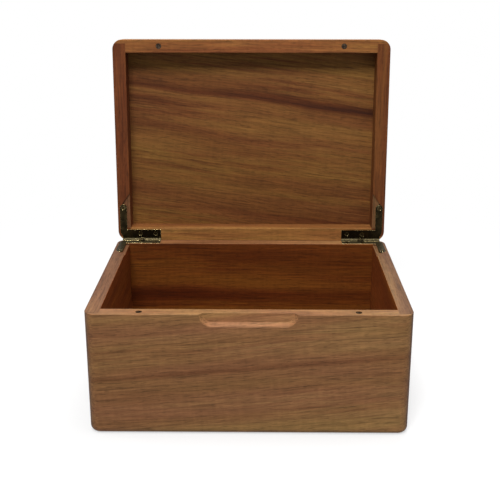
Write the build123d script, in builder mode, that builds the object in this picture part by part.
from build123d import *
import os
from math import radians, tan

# Keepsake box of solid wood: a lapped base with a bottom panel let in from below, and a
# hinged lid made of a lapped frame under one full-size top panel. Two L-shaped stop hinges
# are let into the rims at the rear corners, and two pairs of magnets hold the front shut.
#
# Frame: millimetres, +X to the right, -Y to the front, +Z up. The origin is the middle of
# the underside. The lid is modelled shut and then turned open about the hinge axis.

# ---- driving dimensions: the box ----
box_width = 300.0          # along X, over the side panels
box_depth = 222.0          # along Y, over the front and back panels
base_height = 121.0        # underside to base rim
rail_height = 22.0         # height of the lid frame
top_thickness = 10.0       # lid top panel
wall = 14.0                # thickness of every panel and rail
lap = 4.25                 # front and back boards that lap over the side boards' ends
corner_radius = 10.5       # vertical corners
top_roundover = 9.4        # upper edge of the lid
bottom_roundover = 6.0     # lower edge of the base
rim_easing = 0.5           # small radius on the edges of both rims
seam_gap = 0.3             # between the two rims when the lid is shut
least_flat = 0.5           # wood that a roundover always leaves beside it
chamfer_slope = 45.0       # degrees

# ---- driving dimensions: the bottom panel ----
bottom_thickness = 6.0
bottom_rebate = 6.0        # how far the panel reaches under each wall
bottom_clearance = 0.15    # round the panel's edge, for the wood to move

# ---- driving dimensions: the finger pull in the front panel's upper edge ----
pull_width = 90.0          # at the rim
pull_height = 11.5         # below the rim, and the radius of both ends
pull_depth = 4.0           # into the front face
pull_slope = 37.0          # degrees that its floor and ends lean inward
pull_easing = 0.5          # chamfer round its front edge

# ---- driving dimensions: the magnets ----
magnet_spread = 200.0      # between the two magnets of a rim
magnet_radius = 3.0
magnet_length = 3.0
magnet_sink = 0.4          # below the rim
magnet_clearance = 0.05    # radial, in its pocket
magnet_chamfer = 0.25

# ---- driving dimensions: the hinges ----
open_angle = 94.0          # degrees from shut to the stop
axis_setback = -0.35       # hinge axis behind the back face, so here just inside it
barrel_radius = 2.5
barrel_clearance = 0.35    # between a barrel and what swings or lies beside it
hinge_inset = 5.0          # outer end of the barrel from the side face
leg_length = 43.0          # barrel, and the leaf's leg along the back
leg_reach = 12.0           # inner edge of the leg from the back face
arm_reach = 10.0           # inner edge of the side arm from the side face
arm_margin = 2.5           # outer edge of the side arm from the side face
arm_length = 41.0          # round end of the side arm from the back face
leaf_thickness = 1.6
leaf_clearance = 0.15      # round the leaf in its mortise
cutter_run_out = 13.0      # how far the arm's mortise runs on at the inner face
middle_knuckle = 7.0       # the lid's knuckle, between the base's two
knuckle_gap = 0.2
pin_radius = 1.2
pin_clearance = 0.04       # radial, in the knuckles
lug_thickness = 0.8        # rib on the base knuckles that stops the lid leaf
lug_length = 2.6
lug_root = 0.8             # where the rib starts, along the stopped leaf from the axis
stop_clearance = 0.05      # between the rib and the lid leaf in the open pose

# ---- driving dimensions: the hinge screws ----
leg_screw_places = (20.0, 37.0)   # along the leg, from the barrel's outer end
screw_radius = 1.0
screw_head_radius = 2.0
screw_head_angle = 90.0    # degrees, of the countersunk head
screw_length = 9.0
screw_tip = 1.6            # pointed end
screw_clearance = 0.05     # radial, in the leaf and in the pilot hole
screw_sink = 0.06          # head below the leaf's face
recess_width = 0.5         # cross recess in the head
recess_length = 2.4
recess_depth = 0.55

# ---- places worked out from the dimensions above ----
lid_underside = base_height + seam_gap
top_underside = lid_underside + rail_height
inner_width = box_width - 2 * wall
inner_depth = box_depth - 2 * wall
side_face = box_width / 2
back_face = box_depth / 2
axis_y = back_face + axis_setback
axis_z = base_height + seam_gap / 2
hinge_axis = Axis((0, axis_y, axis_z), (1, 0, 0))
top_edge = min(top_roundover, top_thickness - least_flat, corner_radius - least_flat)
bottom_edge = min(bottom_roundover, wall - bottom_rebate - least_flat,
                  corner_radius - least_flat)

barrel_outer = side_face - hinge_inset
barrel_inner = barrel_outer - leg_length
barrel_middle = (barrel_outer + barrel_inner) / 2
arm_width = arm_reach - arm_margin
arm_x = side_face - (arm_reach + arm_margin) / 2
arm_end_y = back_face - arm_length + arm_width / 2
leg_screw_y = back_face - (barrel_radius + barrel_clearance - axis_setback + leg_reach) / 2
head_slope = tan(radians(screw_head_angle / 2))
head_depth = (screw_head_radius - screw_radius) / head_slope
seat_radius = screw_head_radius + screw_clearance + screw_sink * head_slope
screw_places = [(arm_x, arm_end_y)]
screw_places += [(barrel_outer - place, leg_screw_y) for place in leg_screw_places]

pilot_radius = screw_radius + screw_clearance
pilot_depth = screw_length + screw_sink + screw_clearance
magnet_y = (wall - box_depth) / 2
pocket_depth = magnet_length + magnet_sink

swing_radius = barrel_radius + barrel_clearance
lug_base = axis_z + seam_gap / 2 + leaf_thickness + stop_clearance
lug_reach = ((lug_root + lug_length) ** 2
             + (lug_base - axis_z + lug_thickness) ** 2) ** 0.5

# Plane across the hinge axis in the middle of the box, its X axis forward and its Y axis up.
across = Plane(origin=(0, axis_y, axis_z), x_dir=(0, -1, 0), z_dir=(-1, 0, 0))


def barrel_solid(start, end, radius):
    """A round bar on the hinge axis, from one X to the other."""
    with BuildPart() as bar:
        with BuildSketch(across.offset(-start)):
            Circle(radius)
        extrude(amount=start - end)
    return bar.part


def stop_rib(start, end):
    """The rib that lies on the lid leaf's wooden side once the leaf stands open."""
    with BuildPart() as rib:
        with BuildSketch(across.offset(-start)):
            with Locations((lug_root, lug_base - axis_z)):
                Rectangle(lug_length, lug_thickness, align=(Align.MIN, Align.MIN))
        extrude(amount=start - end)
    return rib.part.rotate(hinge_axis, -open_angle)


def mirrored(piece):
    """The same piece on the left of the box."""
    with BuildPart() as twin:
        mirror(piece, about=Plane.YZ)
    return twin.part


# ---- right hinge, seen from above with the lid shut ----
with BuildSketch() as leaf_plan:
    with Locations((arm_x, (arm_end_y + back_face) / 2)):
        Rectangle(arm_width, back_face - arm_end_y)
    with Locations((arm_x, arm_end_y)):
        Circle(arm_width / 2)
    RectangleRounded(box_width - 2 * arm_margin, box_depth - 2 * arm_margin,
                     corner_radius - arm_margin, mode=Mode.INTERSECT)
    with Locations((barrel_middle, (axis_y + back_face - leg_reach) / 2)):
        Rectangle(leg_length, leg_reach + axis_setback)

# The mortise follows the leaf. Along the side arm it was cut in from the cavity, so it is
# open there and ends in a slant where the cutter ran out.
mortise_outer = side_face - arm_margin + leaf_clearance
with BuildSketch() as mortise_plan:
    add(leaf_plan.sketch)
    offset(amount=leaf_clearance, kind=Kind.INTERSECTION)
    with BuildLine():
        Polyline((mortise_outer, arm_end_y), (mortise_outer, back_face - wall),
                 (inner_width / 2, back_face - wall),
                 (inner_width / 2, back_face - arm_length - cutter_run_out), close=True)
    make_face()

middle_outer = barrel_middle + middle_knuckle / 2
middle_inner = barrel_middle - middle_knuckle / 2
base_knuckles = [(barrel_outer, middle_outer + knuckle_gap),
                 (middle_inner - knuckle_gap, barrel_inner)]
bore = barrel_solid(barrel_outer, barrel_inner, pin_radius + pin_clearance)

# The base leaf lies in the base rim and carries the two outer knuckles. Each has a rib
# behind it that the lid leaf meets when the lid is open.
with BuildPart() as base_leaf:
    with BuildSketch(Plane.XY.offset(base_height - leaf_thickness)):
        add(leaf_plan.sketch)
    extrude(amount=leaf_thickness)
    add(barrel_solid(middle_outer + knuckle_gap, middle_inner - knuckle_gap, swing_radius),
        mode=Mode.SUBTRACT)
    for start, end in base_knuckles:
        add(barrel_solid(start, end, barrel_radius))
        add(stop_rib(start, end))
    add(bore, mode=Mode.SUBTRACT)
    with Locations(*[(x, y, base_height) for x, y in screw_places]):
        CounterSinkHole(pilot_radius, seat_radius, counter_sink_angle=screw_head_angle)

# The lid leaf lies in the lid rim and carries the middle knuckle.
with BuildPart() as lid_leaf:
    with BuildSketch(Plane.XY.offset(lid_underside)):
        add(leaf_plan.sketch)
    extrude(amount=leaf_thickness)
    for start, end in ((barrel_outer + knuckle_gap, middle_outer),
                       (middle_inner, barrel_inner - knuckle_gap)):
        add(barrel_solid(start, end, swing_radius), mode=Mode.SUBTRACT)
    add(barrel_solid(middle_outer, middle_inner, barrel_radius))
    add(bore, mode=Mode.SUBTRACT)
    with Locations(*[Location((x, y, lid_underside), (180, 0, 0)) for x, y in screw_places]):
        CounterSinkHole(pilot_radius, seat_radius, counter_sink_angle=screw_head_angle)

with BuildPart() as hinge_pin:
    add(barrel_solid(barrel_outer, barrel_inner, pin_radius))

# One countersunk screw, standing head up with its head's face at the origin.
with BuildPart() as screw:
    with BuildSketch(Plane.XZ):
        with BuildLine():
            Polyline((0, 0), (screw_head_radius, 0),
                     (screw_radius, -head_depth),
                     (screw_radius, screw_tip - screw_length), (0, -screw_length), close=True)
        make_face()
    revolve(axis=Axis.Z)
    with BuildSketch():
        Rectangle(recess_length, recess_width)
        Rectangle(recess_width, recess_length)
    extrude(amount=-recess_depth, mode=Mode.SUBTRACT)

with BuildPart() as base_screws:
    with Locations(*[(x, y, base_height - screw_sink) for x, y in screw_places]):
        add(screw.part)

with BuildPart() as lid_screws:
    with Locations(*[Location((x, y, lid_underside + screw_sink), (180, 0, 0))
                     for x, y in screw_places]):
        add(screw.part)


# ---- what the right half of a rim loses to its hinge and magnet ----
def rim_cuts(rim_height, into_wood, barrel_space):
    """Mortise, barrel groove and pilot holes of the hinge, and the magnet's pocket."""
    rim = Plane.XY.offset(rim_height)
    with BuildPart() as cuts:
        with BuildSketch(rim):
            add(mortise_plan.sketch)
        extrude(amount=into_wood * leaf_thickness)
        with BuildSketch(rim):
            with Locations(*screw_places):
                Circle(pilot_radius)
        extrude(amount=into_wood * pilot_depth)
        with BuildSketch(rim):
            with Locations((magnet_spread / 2, magnet_y)):
                Circle(magnet_radius + magnet_clearance)
        extrude(amount=into_wood * pocket_depth)
        add(barrel_solid(barrel_outer + leaf_clearance, barrel_inner - leaf_clearance,
                         barrel_space))
    return cuts.part


# ---- base walls as one ring, before they are parted into boards ----
def ring_plan():
    RectangleRounded(box_width, box_depth, corner_radius)
    Rectangle(inner_width, inner_depth, mode=Mode.SUBTRACT)


with BuildPart() as base_walls:
    with BuildSketch():
        ring_plan()
    extrude(amount=base_height)
    fillet(base_walls.faces().sort_by(Axis.Z)[0].outer_wire().edges(), bottom_edge)
    fillet(base_walls.faces().sort_by(Axis.Z)[-1].edges(), rim_easing)
    with BuildSketch():
        Rectangle(inner_width + 2 * bottom_rebate, inner_depth + 2 * bottom_rebate)
    extrude(amount=bottom_thickness, mode=Mode.SUBTRACT)
    with BuildSketch(Plane.XZ.offset(box_depth / 2)):
        with Locations((0, base_height)):
            SlotOverall(pull_width, 2 * pull_height)
    extrude(amount=-pull_depth, taper=pull_slope, mode=Mode.SUBTRACT)
    with BuildSketch(Plane.XZ.offset(box_depth / 2)):
        with Locations((0, base_height)):
            SlotOverall(pull_width + 2 * pull_easing, 2 * (pull_height + pull_easing))
    extrude(amount=-pull_easing, taper=chamfer_slope, mode=Mode.SUBTRACT)
    base_cuts = rim_cuts(base_height, -1, swing_radius)
    add(base_cuts, mode=Mode.SUBTRACT)
    add(mirrored(base_cuts), mode=Mode.SUBTRACT)

# ---- lid frame as one ring ----
with BuildPart() as lid_frame:
    with BuildSketch(Plane.XY.offset(lid_underside)):
        ring_plan()
    extrude(amount=rail_height)
    fillet(lid_frame.faces().sort_by(Axis.Z)[0].edges(), rim_easing)
    lid_cuts = rim_cuts(lid_underside, 1, lug_reach + barrel_clearance)
    add(lid_cuts, mode=Mode.SUBTRACT)
    add(mirrored(lid_cuts), mode=Mode.SUBTRACT)

# ---- where each of the four boards of a ring lies, seen from above ----
board_plans = {}
for name, end in (("front", -1), ("back", 1)):
    with BuildSketch() as plan:
        with Locations((0, end * (box_depth - lap) / 2)):
            Rectangle(box_width, lap)
        with Locations((0, end * (box_depth - wall) / 2)):
            Rectangle(inner_width, wall)
    board_plans[name] = plan.sketch
for name, side in (("left", -1), ("right", 1)):
    with BuildSketch() as plan:
        with Locations((side * (box_width - wall) / 2, 0)):
            Rectangle(wall, box_depth - 2 * lap)
    board_plans[name] = plan.sketch


def board(ring, plan):
    """The part of a ring that lies over one board's plan."""
    with BuildPart() as piece:
        with BuildSketch():
            add(plan)
        extrude(amount=top_underside)
        add(ring, mode=Mode.INTERSECT)
    return piece.part


box_pieces = {}
lid_pieces = {}
for name, plan in board_plans.items():
    box_pieces[f"base_{name}_panel"] = board(base_walls.part, plan)
    lid_pieces[f"lid_{name}_rail"] = board(lid_frame.part, plan)

# ---- bottom panel, flush with the underside of the walls ----
with BuildPart() as base_bottom_panel:
    with BuildSketch():
        Rectangle(inner_width + 2 * (bottom_rebate - bottom_clearance),
                  inner_depth + 2 * (bottom_rebate - bottom_clearance))
    extrude(amount=bottom_thickness)
box_pieces["base_bottom_panel"] = base_bottom_panel.part

# ---- lid top panel ----
with BuildPart() as lid_top_panel:
    with BuildSketch(Plane.XY.offset(top_underside)):
        RectangleRounded(box_width, box_depth, corner_radius)
    extrude(amount=top_thickness)
    fillet(lid_top_panel.faces().sort_by(Axis.Z)[-1].edges(), top_edge)
lid_pieces["lid_top_panel"] = lid_top_panel.part

# ---- magnets, one under each side of the base rim and one facing it in the lid ----
for rim, pieces, height in (("base", box_pieces, base_height - magnet_sink - magnet_length),
                            ("lid", lid_pieces, lid_underside + magnet_sink)):
    with BuildPart() as magnet:
        with BuildSketch(Plane.XY.offset(height)):
            with Locations((magnet_spread / 2, magnet_y)):
                Circle(magnet_radius)
        extrude(amount=magnet_length)
        chamfer(magnet.edges().filter_by(GeomType.CIRCLE), magnet_chamfer)
    pieces[f"{rim}_right_magnet"] = magnet.part
    pieces[f"{rim}_left_magnet"] = mirrored(magnet.part)

# ---- hinges: the left one mirrors the right one ----
for name, placed in (("right", lambda piece: piece), ("left", mirrored)):
    box_pieces[f"{name}_hinge_base_leaf"] = placed(base_leaf.part)
    box_pieces[f"{name}_hinge_pin"] = placed(hinge_pin.part)
    box_pieces[f"{name}_hinge_base_screws"] = placed(base_screws.part)
    lid_pieces[f"{name}_hinge_lid_leaf"] = placed(lid_leaf.part)
    lid_pieces[f"{name}_hinge_lid_screws"] = placed(lid_screws.part)

# ---- open the lid to its stop and write every piece ----
os.makedirs("parts", exist_ok=True)
opened = {name: piece.rotate(hinge_axis, -open_angle) for name, piece in lid_pieces.items()}
for name, piece in {**box_pieces, **opened}.items():
    piece.label = name
    export_step(piece, f"parts/{name}.step")
    print(f"{name}: {len(piece.solids())} solid(s), {piece.volume:.0f} mm3")
